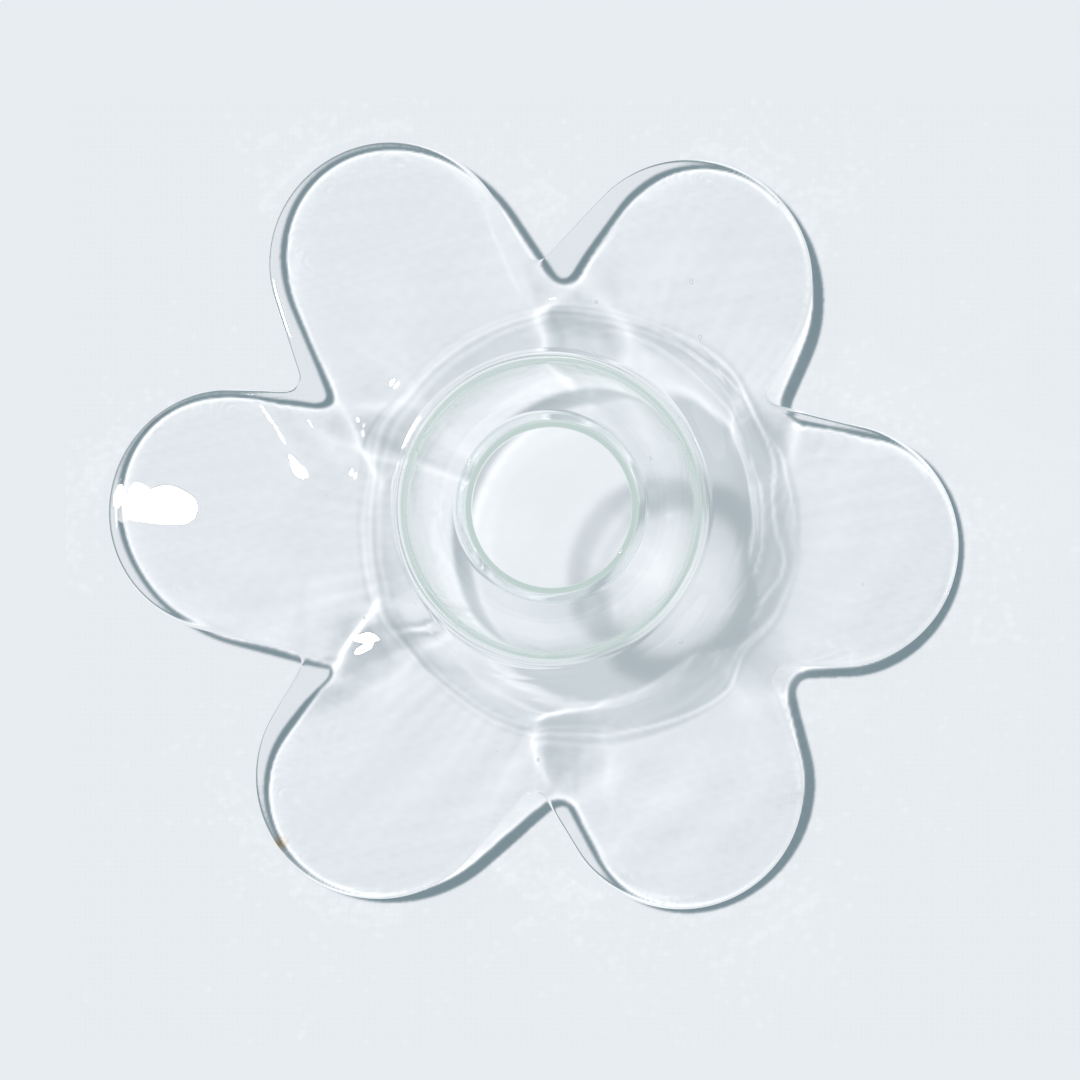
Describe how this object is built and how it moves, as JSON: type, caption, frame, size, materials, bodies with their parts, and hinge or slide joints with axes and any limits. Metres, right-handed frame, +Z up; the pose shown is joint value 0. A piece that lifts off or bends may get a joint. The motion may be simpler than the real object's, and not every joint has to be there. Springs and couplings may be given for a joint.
{
  "type": "flower frog",
  "caption": "Clear glass flower frog: drooping petals spread from a thick shoulder, under an open domed neck that holds stems upright.",
  "frame": {"origin": "middle of the bounding box at the table, on the plane that the petal tips rest on", "axes": "+Z up along the neck, +X towards petal_1"},
  "size_m": [0.2008, 0.1812, 0.0502],
  "materials": {
    "clear_glass": "clear, faintly green, fire-polished"
  },
  "bodies": {
    "root": {"petal_1": "clear_glass", "petal_2": "clear_glass", "petal_3": "clear_glass", "petal_4": "clear_glass", "petal_5": "clear_glass", "petal_6": "clear_glass", "shoulder": "clear_glass", "neck": "clear_glass", "lip": "clear_glass"}
  },
  "joints": []
}
